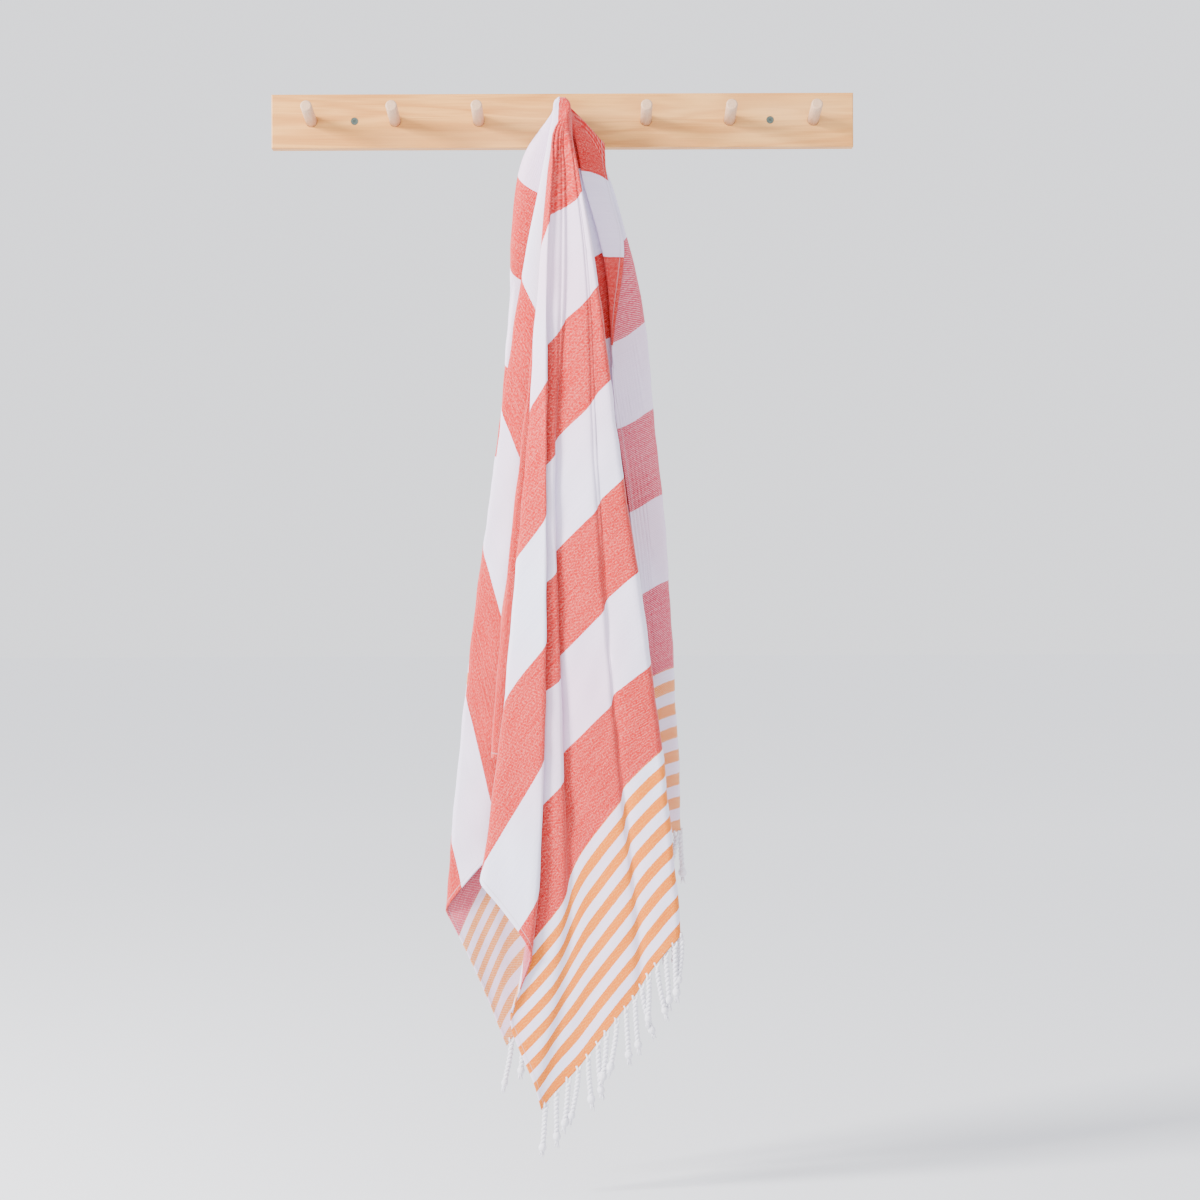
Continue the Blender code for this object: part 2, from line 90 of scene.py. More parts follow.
# Where the cloth turns back on itself, its two layers stand apart
LOOP_HALF = 0.0014
LOOP_TURN = 0.5
LOOP_FROM = 0.032

# The cloth keeps clear of the peg, and behind it lies over the peg like a tent
PEG_CLEAR = 0.0022
OVER_PEG = 138.0
TENT_FLAT = 0.003

# Folds: angle on the flat cloth, depth layer, and place from side to side in mm at the stations,
# which are distances from the peg point; FRONT and BACK are the depths of layers 0 and LAYERS
STATIONS = (0.050, 0.090, 0.190, 0.450, 0.750, 1.000, 1.170)
FRONT = (-0.090, -0.098, -0.108, -0.118, -0.121, -0.122, -0.122)
BACK = (-0.048, -0.028, -0.017, -0.008, -0.006, -0.006, -0.006)
LAYERS = 14.0
FOLDS = (
    # name              angle  layer  mm from side to side at each station
    ("back",            -180.0, 14.0, (6, 22, 40, 150, 160, 160, 160)),
    ("back_left",       -135.0, 14.0, (-14, -18, 20, 150, 160, 160, 160)),
    ("back_fall",       -110.0, 13.9, (-19, -28, 6, 150, 160, 160, 160)),
    ("near_edge_b",      -93.5, 13.7, (-22, -38, -38, 66, 112, 122, 122)),
    ("back_wave_3",      -88.0, 13.2, (-23, -42, -56, 34, 72, 80, 80)),
    ("back_wave_2",      -83.0, 13.4, (-23, -44, -62, -4, 12, 10, 10)),
    ("back_wave_1",      -78.0, 12.6, (-22, -42, -61, -46, -54, -60, -60)),
    ("left_side",        -72.0, 11.8, (-20, -37, -54, -87, -125, -135, -135)),
    ("left_inner",       -55.0, 10.8, (-6, -2, 10, 58, 100, 64, 60)),
    ("corner_b",         -46.3, 9.5, (-13, -12, -18, -18, -20, -66, -72)),
    ("flap_left",        -36.5, 7.8, (-18, -24, -46, -85, -123, -143, -143)),
    ("flap_right",       -30.5, 6.3, (-10, -14, -28, -52, -80, -98, -98)),
    ("hidden_right_1",   -14.0, 5.7, (1, 4, 22, 62, 92, 96, 96)),
    ("hidden_left",        1.0, 4.8, (-8, -12, -26, -58, -88, -92, -92)),
    ("hidden_right_2",    16.0, 3.9, (2, 6, 24, 66, 98, 100, 100)),
    ("mid_left",          32.5, 2.1, (-12, -17, -28, -48, -76, -106, -106)),
    ("mid_right",         39.0, 0.2, (-5, -8, -13, -15, -18, -34, -66)),
    ("mid_hidden",        44.0, 1.5, (-7, -11, -19, -34, -50, -44, -82)),
    ("strip_right",       47.6, 0.8, (2, 4, 6, -4, 4, -4, -32)),
    ("strip_hidden",      49.4, 1.8, (-1, 0, 0, -14, -12, 6, -16)),
    ("panel_left",        52.0, 1.4, (6, 7, 10, 1, 14, 24, 20)),
    ("panel_crease",      57.7, 0.5, (11, 15, 28, 41, 63, 82, 84)),
    ("tuck_hidden",       58.6, 1.0, (10, 14, 25, 36, 56, 87, 92)),
    ("tuck_right",        59.5, 0.6, (11, 16, 29, 43, 66, 93, 100)),
    ("panel_right",       64.5, 0.3, (15, 20, 39, 73, 114, 139, 150)),
    ("behind_panel",      68.0, 6.6, (14, 16, 32, 62, 100, 124, 136)),
    ("right_inner",       76.0, 8.4, (8, 10, 18, -16, 12, 20, 20)),
    ("right_side",        91.5, 10.2, (17, 47, 83, 118, 137, 145, 145)),
    ("border_turn",      102.0, 8.3, (12, 19, 42, 56, 40, 20, 20)),
    ("border_upper",     112.0, 8.7, (20, 32, 74, 60, 20, 20, 20)),
    ("border_collar",    125.0, 9.1, (26, 42, 84, 80, 60, 60, 60)),
    ("border_back",      143.0, 9.7, (29, 50, 90, 100, 100, 100, 100)),
    ("border_top",       160.0, 12.2, (22, 46, 90, 120, 130, 130, 130)),
    ("back",             180.0, 14.0, (6, 22, 40, 150, 160, 160, 160)),
)
ANGLES = np.array([row[1] for row in FOLDS])

# Above the middle, folds bend towards the far selvedge on the cloth: by how many degrees
DRIFT_RADII = (0.020, 0.130, 0.200, 0.235, 0.350, 0.465, 0.575, 0.690, 0.780)
DRIFT = (
    # angle   degrees at each of those distances
    (-60.0, (0, 0, 0, 0, 0, 0, 0, 0, 0)),
    (-36.0, (0, -5.0, -4.6, -4.2, -1.5, 0, 0, 0, 0)),
    (-10.0, (0, 0, 0, 0, 0, 0, 0, 0, 0)),
    (32.5, (0, 8.0, 7.4, 6.8, 4.2, 2.6, 1.2, 0, 0)),
    (39.0, (0, 7.4, 7.0, 6.8, 6.3, 4.4, 3.0, 1.5, 0)),
    (48.0, (0, 12.0, 8.0, 7.2, 6.0, 4.8, 3.5, 1.8, 0)),
    (64.5, (0, 20.0, 13.0, 10.5, 6.6, 5.6, 4.0, 2.5, 0)),
    (92.0, (0, 0, 0, 0, 0, 0, 0, 0, 0)),
)

# The cloth over the peg is pulled a little towards end B
CREST_SHIFT = 0.014
CREST_SPREAD = 0.045

# Columns and rings of the sheet, finer than in the CAD part; the gaps are in degrees
COLUMN_GAP = 0.72
COLUMN_GAP_BACK = 4.0
BACK_FROM = 104.0
HAIRPIN_COLUMNS = (-1.1, -0.5, 0.0, 0.5, 1.1)
CORNER_CLEAR = 0.2
LEAST_GAP = 0.12
RINGS_CAP = (0.003, 0.006, 0.009, 0.012, 0.015, 0.018, 0.022, 0.027, 0.033, 0.040)
RINGS = 92
EDGE_RINGS = (0.0085, 0.0055, 0.0025, 0.0)

# Slack waves start this far from the peg and reach their full height over the next stretch
RIPPLE_FROM = 0.12
RIPPLE_OVER = 0.2

# Stripes, measured from the fringed ends and along the cloth
BORDER = 0.19595
ORANGE_PITCH = 0.02785
BAND = 0.10332
STRIPE_WANDER = 0.003
STRIPE_FUZZ = 0.0016
SEAM_HALF = 0.0006

# Weave of each side: lean and width of its diagonals, their share in the specks, and the yarn
# colours (coral, light in coral, orange, light in orange, white)
FACE = (-1.0, 0.0024, 0.25, ("BE0C12", "E8847A", "E26C00", "F2A850", "E6E5F9"))
REVERSE = (1.0, 0.0029, 0.35, ("C43C54", "EDB4BE", "E4823A", "F4D0AC", "E6E6F9"))
WHITE_SLUB = "DEDCF3"
# Pink painted into the white stripes in soft patches, as bounce light from the coral
PAINTED_BOUNCE_PINK = "ECC6E0"
SEAM = "C9BFC6"

# Tassels: random shift along the end, sway, curl and length, and where they turn to hang
TASSEL_COUNT = 37
TASSEL_LENGTH = 0.070
TASSEL_SHIFT = 0.0015
TASSEL_SWAY = (0.09, 0.05)
TASSEL_CURL = 0.16
TASSEL_LENGTHS = (0.94, 1.05)
TASSEL_TURN = 0.028
TASSEL_MARKS = (-0.0015, -0.0005, 0.012)
TASSEL_BESIDE = 0.3

# Plies: one turn of the twist, and the flare where they leave the cloth
PLY_RADIUS = 0.0019
PLY_SIDES = 6
PLY_RINGS = 34
PLY_APART = 0.86
PLY_TWIST = 0.0105
FLARE_LENGTH = 0.009
FLARE_APART = 0.0030
FLARE_THINNER = 0.35

# Knots and frayed ends
KNOT_AT = 0.056
KNOT_RADIUS = 0.0047
KNOT_SIZES = (0.9, 1.1)
KNOT_TALL = 1.15
FRAY_COUNT = 7
FRAY_LENGTH = 0.013
FRAY_LENGTHS = (0.7, 1.1)
FRAY_START = 0.0012
FRAY_SPREAD = 0.0022
FRAY_SPREADS = (0.5, 1.0)
FRAY_STEPS = (0.1, 0.4, 0.7, 1.0)
FRAY_RADII = (0.0009, 0.0009, 0.0007, 0.0003)
FRAY_SIDES = 4

# Studio: light all round, a wide floor that pales with distance, two lamps and the camera
WORLD_TINT = (0.94, 0.95, 1.0, 1.0)
WORLD_STRENGTH = 1.7
FLOOR_HALF = 30.0
FLOOR_HEIGHT = -1.275
FLOOR_FADE = (0.5, 5.0)
FLOOR_NEAR = (0.78, 0.79, 0.82, 1.0)
FLOOR_FAR = (0.965, 0.97, 0.99, 1.0)
LAMPS = (
    # name    place              aimed at             size        watts  tint
    ("key", (-3.1, -1.7, 0.9), (0.0, -0.05, -0.5), (1.0, 1.0), 440.0, (1.0, 0.985, 0.96)),
    ("fill", (2.6, -2.2, 0.2), (0.0, -0.05, -0.6), (2.0, 2.0), 8.0, (0.96, 0.98, 1.0)),
)
LENS = 79.8
SENSOR = 36.0
CAMERA_PLACE = (0.0433, -3.218, -0.577)
CAMERA_TURN = (math.radians(90.0), math.radians(0.2), 0.0)


def hermite(xs, ys, x):
    """Smooth curve through the points (xs, ys) at every value in x."""
    xs = np.asarray(xs, float)
    ys = np.asarray(ys, float)
    step = np.diff(ys) / np.diff(xs)
    slope = np.empty(len(xs))
    slope[0] = step[0]
    slope[-1] = step[-1]
    share = (xs[1:-1] - xs[:-2]) / (xs[2:] - xs[:-2])
    slope[1:-1] = step[:-1] * (1 - share) + step[1:] * share
    k = np.clip(np.searchsorted(xs, x, "right") - 1, 0, len(xs) - 2)
    width = xs[k + 1] - xs[k]
    t = np.minimum((x - xs[k]) / width, 1.0)
    value = (ys[k] * (2 * t**3 - 3 * t**2 + 1) + slope[k] * width * (t**3 - 2 * t**2 + t)
             + ys[k + 1] * (3 * t**2 - 2 * t**3) + slope[k + 1] * width * (t**3 - t**2))
    return value + slope[-1] * np.maximum(x - xs[-1], 0.0)


def cap(r, angle):
    """Plan place of the cloth where it wraps the end of the peg."""
    side = r * np.abs(np.sin(angle))
    along = r * np.cos(angle)
    x = CAP_RADIUS * np.sin(np.minimum(side / CAP_RADIUS, math.pi / 2))
    x = x + CAP_SPREAD * np.maximum(side - CAP_RADIUS * math.pi / 2, 0.0)
    along = np.where(along < 0.0, along * CAP_BACK, along)
    past = np.clip((along - CAP_FLAT) / CAP_NOSE, 0.0, math.pi / 2)
    along = np.where(along > CAP_FLAT, CAP_FLAT + CAP_NOSE * np.sin(past), along)
    return CREST[0] + np.sign(np.sin(angle)) * x, CREST[1] - along


def fold_table(radii):
    """Plan place of every fold at every distance, and which way its hairpin opens there."""
    fx = np.empty((len(radii), len(FOLDS)))
    fy = np.empty_like(fx)
    xs = (CAP_REACH,) + STATIONS
    for k, (_, angle, depth, sideways) in enumerate(FOLDS):
        a = math.radians(angle)
        rim = cap(np.float64(CAP_REACH), a)
        near = cap(radii, a)
        ys = [f + (b - f) * depth / LAYERS for f, b in zip(FRONT, BACK)]
        across = hermite(xs, [rim[0]] + [v / 1000 for v in sideways], radii)
        fx[:, k] = np.where(radii <= CAP_REACH, near[0], across)
        fy[:, k] = np.where(radii <= CAP_REACH, near[1], hermite(xs, [rim[1]] + ys, radii))
    before_x = fx[:, :-2] - fx[:, 1:-1]
    after_x = fx[:, 2:] - fx[:, 1:-1]
    before = (fy[:, :-2] - fy[:, 1:-1]) / np.maximum(np.abs(before_x), 1e-9)
    after = (fy[:, 2:] - fy[:, 1:-1]) / np.maximum(np.abs(after_x), 1e-9)
    sides = np.zeros_like(fx)
    sides[:, 1:-1] = np.where(before_x * after_x <= 0.0, 0.0, np.where(after > before, 1.0, -1.0))
    return fx, fy, sides


STEPS = np.arange(int(RAY_LIMIT / RAY_STEP)) * RAY_STEP
FOLD_X, FOLD_Y, SIDES = fold_table(STEPS)


def plan_at(k, angles):
    """Plan place of every ray at step k, with its folds rounded and hairpins opened."""
    r = STEPS[k]
    if r <= CAP_REACH:
        return cap(r, np.radians(angles))
    near_peg = max(0.0, (SHARP_FROM - r) / SHARP_FROM)
    reach = min(math.degrees(BEND / r), SHARP + SOFT_NEAR_PEG * near_peg**SOFT_POWER)
    x = np.zeros(len(angles))
    y = np.zeros(len(angles))
    for share in BEND_SHARES:
        turned = (angles + share * reach + 180.0) % 360.0 - 180.0
        x += np.interp(turned, ANGLES, FOLD_X[k]) / len(BEND_SHARES)
        y += np.interp(turned, ANGLES, FOLD_Y[k]) / len(BEND_SHARES)
    fold = np.clip(np.searchsorted(ANGLES, angles, "right") - 1, 0, len(ANGLES) - 2)
    after = angles - ANGLES[fold]
    before = ANGLES[fold + 1] - angles
    t = after / (after + before)
    width = LOOP_HALF * min(1.0, max(0.0, r / LOOP_FROM - 1.0))
    y += SIDES[k, fold] * width * np.minimum(1.0, after / LOOP_TURN) * (1.0 - t)
    y -= SIDES[k, fold + 1] * width * np.minimum(1.0, before / LOOP_TURN) * t
    return x, y


def rays(angles):
    """Lines of the hanging cloth, one for each angle, at every step from the peg point."""
    angles = np.asarray(angles, float)
    lines = np.empty((len(angles), len(STEPS), 3))
    lines[:, 0] = CREST
    x, y = cap(0.0, np.zeros(len(angles)))
    z = np.full(len(angles), CREST[2])
    keep = PEG_RADIUS + PEG_CLEAR
    for k in range(1, len(STEPS)):
        nx, ny = plan_at(k, angles)
        plan = np.hypot(nx - x, ny - y)
        z = z - np.sqrt(np.maximum(RAY_STEP**2 - plan**2, (LEAST_FALL * RAY_STEP)**2))
        x = nx
        y = ny
        middle = -(y + BOARD_THICK) * math.tan(PEG_TILT)
        gap = np.maximum(np.hypot(x, z - middle), 1e-6)
        inside = (y >= -BOARD_THICK - PEG_REACH) & (gap < keep)
        grow = np.where(inside, keep / gap, 1.0)
        x = x * grow
        z = z + (z - middle) * (grow - 1.0)
        tent = middle + keep - np.maximum(0.0, np.abs(x) - TENT_FLAT)
        z = np.where(np.abs(angles) > OVER_PEG, np.maximum(z, tent), z)
        lines[:, k] = np.stack((x, y, z), 1)
    return lines


def on_lines(lines, radii):
    """Points at radii (one row per line) along the lines."""
    place = radii / RAY_STEP
    k = np.minimum(place.astype(int), len(STEPS) - 2)
    t = (place - k)[..., None]
    rows = np.arange(len(lines))[:, None]
    return lines[rows, k] * (1 - t) + lines[rows, k + 1] * t


def ray_end(angle):
    """Distance from the peg point to the towel's edge at this angle."""
    a = math.radians(angle)
    reach = []
    if math.cos(a) > 1e-6:
        reach.append(TO_FAR_SELVEDGE / math.cos(a))
    if math.cos(a) < -1e-6:
        reach.append(-TO_NEAR_SELVEDGE / math.cos(a))
    if math.sin(a) > 1e-6:
        reach.append(TO_END_A / math.sin(a))
    if math.sin(a) < -1e-6:
        reach.append(-TO_END_B / math.sin(a))
    return min(reach)


def columns():
    """Angles of the sheet's columns: close together at every fold and corner."""
    corners = [math.degrees(math.atan2(TO_END_A, TO_FAR_SELVEDGE)),
               -math.degrees(math.atan2(TO_END_B, TO_FAR_SELVEDGE)),
               90 + math.degrees(math.atan2(TO_NEAR_SELVEDGE, TO_END_A)),
               -90 - math.degrees(math.atan2(TO_NEAR_SELVEDGE, TO_END_B))]
    marks = list(corners) + [-180.0]
    for angle in ANGLES[1:-1]:
        marks += [angle + turn for turn in HAIRPIN_COLUMNS
                  if all(abs(angle + turn - corner) > CORNER_CLEAR for corner in corners)]
    marks = sorted(marks)
    kept = [marks[0]]
    for mark in marks[1:]:
        if mark - kept[-1] > LEAST_GAP or mark in corners:
            kept.append(mark)
    result = []
    for low, high in zip(kept, kept[1:] + [180.0]):
        limit = COLUMN_GAP if abs(low) < BACK_FROM else COLUMN_GAP_BACK
        parts = max(1, math.ceil((high - low) / limit))
        result += [low + (high - low) * k / parts for k in range(parts)]
    return result


def drift(angles, radii):
    """How far the cloth under each point is turned from the fold lines there, in degrees."""
    rows = np.array([[np.interp(r, DRIFT_RADII, row[1]) for row in DRIFT]
                     for r in radii.ravel()])
    flat = np.repeat(angles, radii.shape[1])
    keys = np.array([row[0] for row in DRIFT])
    k = np.clip(np.searchsorted(keys, flat, "right") - 1, 0, len(keys) - 2)
    t = np.clip((flat - keys[k]) / (keys[k + 1] - keys[k]), 0.0, 1.0)
    each = np.arange(len(flat))
    return (rows[each, k] * (1 - t) + rows[each, k + 1] * t).reshape(radii.shape)


def ripple(p, q):
    """Small slack waves across the cloth, in metres, from its own coordinates."""
    a = np.sin(2 * math.pi * (p + q * 0.35) / 0.047 + 3.0 * np.sin(q / 0.061))
    b = np.sin(2 * math.pi * (q - p * 0.22) / 0.071 + 2.4 * np.sin(p / 0.083))
    c = np.sin(2 * math.pi * (p * 0.6 + q) / 0.112 + 1.7 * np.sin((p - q) / 0.12))
    return 0.00030 * a + 0.00042 * b + 0.00060 * c


def add_object(name, data):
    made = bpy.data.objects.new(name, data)
    bpy.context.scene.collection.objects.link(made)
    return made


def mesh_from(bm, name, finish):
    mesh = bpy.data.meshes.new(name)
    bm.to_mesh(mesh)
    bm.free()
    mesh.materials.append(finish)
    return mesh


def make_towel(materials):
    """The sheet with both skins, its edge closed, and the flat cloth's metres as its UV."""
    angles = np.array(columns())
    lines = rays(angles)
    ends = np.array([ray_end(a) for a in angles])
    start = RINGS_CAP[-1]
    inner = np.array(RINGS_CAP)
    middle = start + (ends[:, None] - EDGE_RINGS[0] - start) * (np.arange(1, RINGS) / RINGS)
    edge = ends[:, None] - np.array(EDGE_RINGS)
    radii = np.concatenate((np.repeat(inner[None], len(angles), 0), middle, edge), 1)
    points = on_lines(lines, radii)
    turned = np.radians(angles[:, None] - drift(angles, radii))
    p = radii * np.sin(turned) - CREST_SHIFT * np.exp(-(radii / CREST_SPREAD)**2)
    q = -radii * np.cos(turned)
    count, rings = radii.shape

    after = np.roll(points, -1, 0)
    before = np.roll(points, 1, 0)
    down = np.empty_like(points)
    down[:, 1:-1] = points[:, 2:] - points[:, :-2]
    down[:, 0] = points[:, 1] - np.array(CREST)
    down[:, -1] = points[:, -1] - points[:, -2]
    normal = np.cross(down, after - before)
    normal /= np.maximum(np.linalg.norm(normal, axis=2, keepdims=True), 1e-12)
    slack = np.clip((radii - RIPPLE_FROM) / RIPPLE_OVER, 0.0, 1.0)
    points = points + normal * (ripple(p, q) * slack)[..., None]

    hem = np.minimum(q + TO_FAR_SELVEDGE, TO_NEAR_SELVEDGE - q)
    hemmed = np.clip(HEM_RAMP - hem / HEM_WIDTH, 0.0, 1.0)
    thick = SHEET * (1 + HEM_EXTRA * hemmed * (radii > HEM_FROM))
    half = normal * (thick / 2)[..., None]

    crest = np.array(CREST)
    lift = np.array((0.0, 0.0, SHEET / 2))
    verts = np.concatenate((np.array([crest + lift, crest - lift]),
                            (points + half).reshape(-1, 3), (points - half).reshape(-1, 3)))
    flat = np.stack((q, p), 2).reshape(-1, 2)
    uv = np.concatenate((np.zeros((2, 2)), flat, flat))

    def index(i, k, skin):
        return 2 + skin * count * rings + (i % count) * rings + k

    faces = []
    slots = []
    for i in range(count):
        faces.append((0, index(i, 0, 0), index(i + 1, 0, 0)))
        faces.append((1, index(i + 1, 0, 1), index(i, 0, 1)))
        slots += [0, 1]
        for k in range(rings - 1):
            faces.append((index(i, k, 0), index(i, k + 1, 0),
                          index(i + 1, k + 1, 0), index(i + 1, k, 0)))
            faces.append((index(i + 1, k, 1), index(i + 1, k + 1, 1),
                          index(i, k + 1, 1), index(i, k, 1)))
            slots += [0, 1]
        last = rings - 1
        faces.append((index(i, last, 0), index(i, last, 1),
                      index(i + 1, last, 1), index(i + 1, last, 0)))
        slots.append(0)
    mesh = bpy.data.meshes.new("towel_cloth")
    mesh.from_pydata([tuple(v) for v in verts], [], faces)
    for finish in materials:
        mesh.materials.append(finish)
    mesh.polygons.foreach_set("material_index", slots)
    mesh.polygons.foreach_set("use_smooth", [True] * len(faces))
    layer = mesh.uv_layers.new(name="cloth")
    corners = np.empty(len(mesh.loops), int)
    mesh.loops.foreach_get("vertex_index", corners)
    layer.data.foreach_set("uv", uv[corners].ravel())
    mesh.update()
    return add_object("towel_cloth", mesh)


def tube(bm, path, radius, sides, across):
    """Round tube along a path, its radius one number for each point; across is a side direction."""
    rings = []
    for k, point in enumerate(path):
        ahead = path[min(k + 1, len(path) - 1)]
        behind = path[max(k - 1, 0)]
        down = (ahead - behind).normalized()
        u = (across - down * across.dot(down)).normalized()
        v = down.cross(u)
        rings.append([bm.verts.new(point + (u * math.cos(a) + v * math.sin(a)) * radius[k])
                      for a in (math.tau * s / sides for s in range(sides))])
    for near, far in zip(rings, rings[1:]):
        for s in range(sides):
            bm.faces.new((near[s], near[(s + 1) % sides], far[(s + 1) % sides], far[s]))
    bm.faces.new(rings[0][::-1])
    bm.faces.new(rings[-1])


def bead(bm, centre, radius, along):
    """Knot: a ball, a little longer along the tassel."""
    made = bmesh.ops.create_uvsphere(bm, u_segments=12, v_segments=8, radius=radius)
    turn = along.to_track_quat("Z", "Y").to_matrix().to_4x4()
    shape = Matrix.Translation(centre) @ turn @ Matrix.Diagonal((1.0, 1.0, KNOT_TALL, 1.0))
    bmesh.ops.transform(bm, matrix=shape, verts=made["verts"])


def make_fringe(name, side, rng, finish):
    """Twisted two-ply tassels with a knot and a frayed end, along one end of the cloth."""
    length = TO_END_A if side > 0 else TO_END_B
    pitch = FLAT_WIDTH / TASSEL_COUNT
    places = np.array([-TO_FAR_SELVEDGE + pitch * (k + 0.5) for k in range(TASSEL_COUNT)])
    places += rng.uniform(-TASSEL_SHIFT, TASSEL_SHIFT, TASSEL_COUNT)
    angles = side * np.degrees(np.arctan2(length, -places))
    lines = rays(angles)
    reach = np.hypot(length, places)
    marks = np.array(TASSEL_MARKS)
    spots = on_lines(lines, reach[:, None] + marks[None])
    beside = on_lines(rays(angles + TASSEL_BESIDE), reach[:, None] + marks[None, :1])
    bm = bmesh.new()
    for k in range(TASSEL_COUNT):
        root = Vector(spots[k, 0])
        start = (Vector(spots[k, 2]) - Vector(spots[k, 1])).normalized()
        across = Vector(beside[k, 0]) - root
        across = across.normalized() if across.length > 1e-6 else Vector((1, 0, 0))
        sway = Vector((rng.normal(0, TASSEL_SWAY[0]), rng.normal(0, TASSEL_SWAY[1]), 0.0))
        down = (Vector((0, 0, -1)) + sway).normalized()
        curl = rng.uniform(-TASSEL_CURL, TASSEL_CURL)
        tall = TASSEL_LENGTH * rng.uniform(*TASSEL_LENGTHS)
        knot = KNOT_AT * tall / TASSEL_LENGTH
        spine = [root]
        step = knot / (PLY_RINGS - 1)
        for n in range(1, PLY_RINGS):
            share = min(1.0, n * step / TASSEL_TURN)
            heading = start.lerp(down + Vector((curl * n / PLY_RINGS, 0, 0)), share).normalized()
            spine.append(spine[-1] + heading * step)
        phase = rng.uniform(0, math.tau)
        for ply in (0, 1):
            path = []
            size = []
            for n, point in enumerate(spine):
                heading = (spine[min(n + 1, PLY_RINGS - 1)] - spine[max(n - 1, 0)]).normalized()
                u = (across - heading * across.dot(heading)).normalized()
                v = heading.cross(u)
                a = phase + math.pi * ply + n * step / PLY_TWIST * math.tau
                flare = max(0.0, 1.0 - n * step / FLARE_LENGTH)
                apart = PLY_RADIUS * PLY_APART
                offset = (u * math.cos(a) + v * math.sin(a)) * apart * (1 - flare)
                offset += u * (1 if ply else -1) * FLARE_APART * flare
                path.append(point + offset)
                size.append(PLY_RADIUS * (1 - FLARE_THINNER * flare))
            tube(bm, path, size, PLY_SIDES, across)
        heading = (spine[-1] - spine[-2]).normalized()
        bead(bm, spine[-1], KNOT_RADIUS * rng.uniform(*KNOT_SIZES), heading)
        u = (across - heading * across.dot(heading)).normalized()
        v = heading.cross(u)
        for strand in range(FRAY_COUNT):
            a = math.tau * strand / FRAY_COUNT + phase
            out = u * math.cos(a) + v * math.sin(a)
            spread = FRAY_SPREAD * rng.uniform(*FRAY_SPREADS)
            fray = FRAY_LENGTH * rng.uniform(*FRAY_LENGTHS)
            path = [spine[-1] + heading * (fray * s) + out * (FRAY_START + spread * s * s)
                    for s in FRAY_STEPS]
            tube(bm, path, FRAY_RADII, FRAY_SIDES, across)
    mesh = mesh_from(bm, name, finish)
    mesh.polygons.foreach_set("use_smooth", [True] * len(mesh.polygons))
    return add_object(name, mesh)


class Nodes:
    """Small helper that builds a procedural node material."""

    def __init__(self, name):
        self.material = bpy.data.materials.new(name)
        self.material.use_nodes = True
        self.tree = self.material.node_tree
        self.shader = self.tree.nodes["Principled BSDF"]

    def add(self, kind, **values):
        node = self.tree.nodes.new(kind)
        for key, value in values.items():
            setattr(node, key, value)
        return node

    def link(self, start, end):
        self.tree.links.new(start, end)

    def set(self, node, key, value):
        if isinstance(value, bpy.types.NodeSocket):
            self.link(value, node.inputs[key])
        else:
            node.inputs[key].default_value = value

    def math(self, operation, a, b=0.0, c=0.0):
        node = self.add("ShaderNodeMath", operation=operation)
        for key, value in enumerate((a, b, c)):
            self.set(node, key, value)
        return node.outputs[0]

    def mix(self, share, a, b):
        node = self.add("ShaderNodeMix", data_type="RGBA")
        self.set(node, 0, share)
        self.set(node, 6, a)
        self.set(node, 7, b)
        return node.outputs[2]

    def ramp(self, value, low, high, a=0.0, b=1.0):
        node = self.add("ShaderNodeMapRange")
        for key, item in enumerate((value, low, high, a, b)):
            self.set(node, key, item)
        return node.outputs[0]

    def noise(self, vector, scale, detail=2.0, rough=0.5, distort=0.0):
        """Noise, its scale one number or one for each axis."""
        if isinstance(scale, tuple):
            mapping = self.add("ShaderNodeMapping")
            self.set(mapping, "Vector", vector)
            mapping.inputs["Scale"].default_value = scale
            vector = mapping.outputs[0]
            scale = 1.0
        node = self.add("ShaderNodeTexNoise")
        self.set(node, "Vector", vector)
        self.set(node, "Scale", scale)
        self.set(node, "Detail", detail)
        self.set(node, "Roughness", rough)
        self.set(node, "Distortion", distort)
        return node.outputs["Fac"]

    def sway(self, value, noise, size):
        """The value moved up and down by this share of the noise."""
        shift = self.math("MULTIPLY", self.math("SUBTRACT", noise, 0.5), size)
        return self.math("ADD", value, shift)

    def spot(self):
        return self.add("ShaderNodeTexCoord").outputs["Object"]

    def first_two(self, vector):
        node = self.add("ShaderNodeSeparateXYZ")
        self.link(vector, node.inputs[0])
        return node.outputs[0], node.outputs[1]

    def paint(self, base, values):
        """Link the base colour and set the shader's other inputs."""
        self.link(base, self.shader.inputs["Base Color"])
        for key, value in values.items():
            self.shader.inputs[key].default_value = value

    def bump(self, height, distance, strength):
        node = self.add("ShaderNodeBump")
        self.set(node, "Height", height)
        node.inputs["Distance"].default_value = distance
        node.inputs["Strength"].default_value = strength
        self.link(node.outputs[0], self.shader.inputs["Normal"])


def colour(text):
    """Linear colour from a hex one."""
    parts = [int(text[k:k + 2], 16) / 255 for k in (0, 2, 4)]
    return tuple(c / 12.92 if c < 0.04045 else ((c + 0.055) / 1.055)**2.4 for c in parts) + (1.0,)


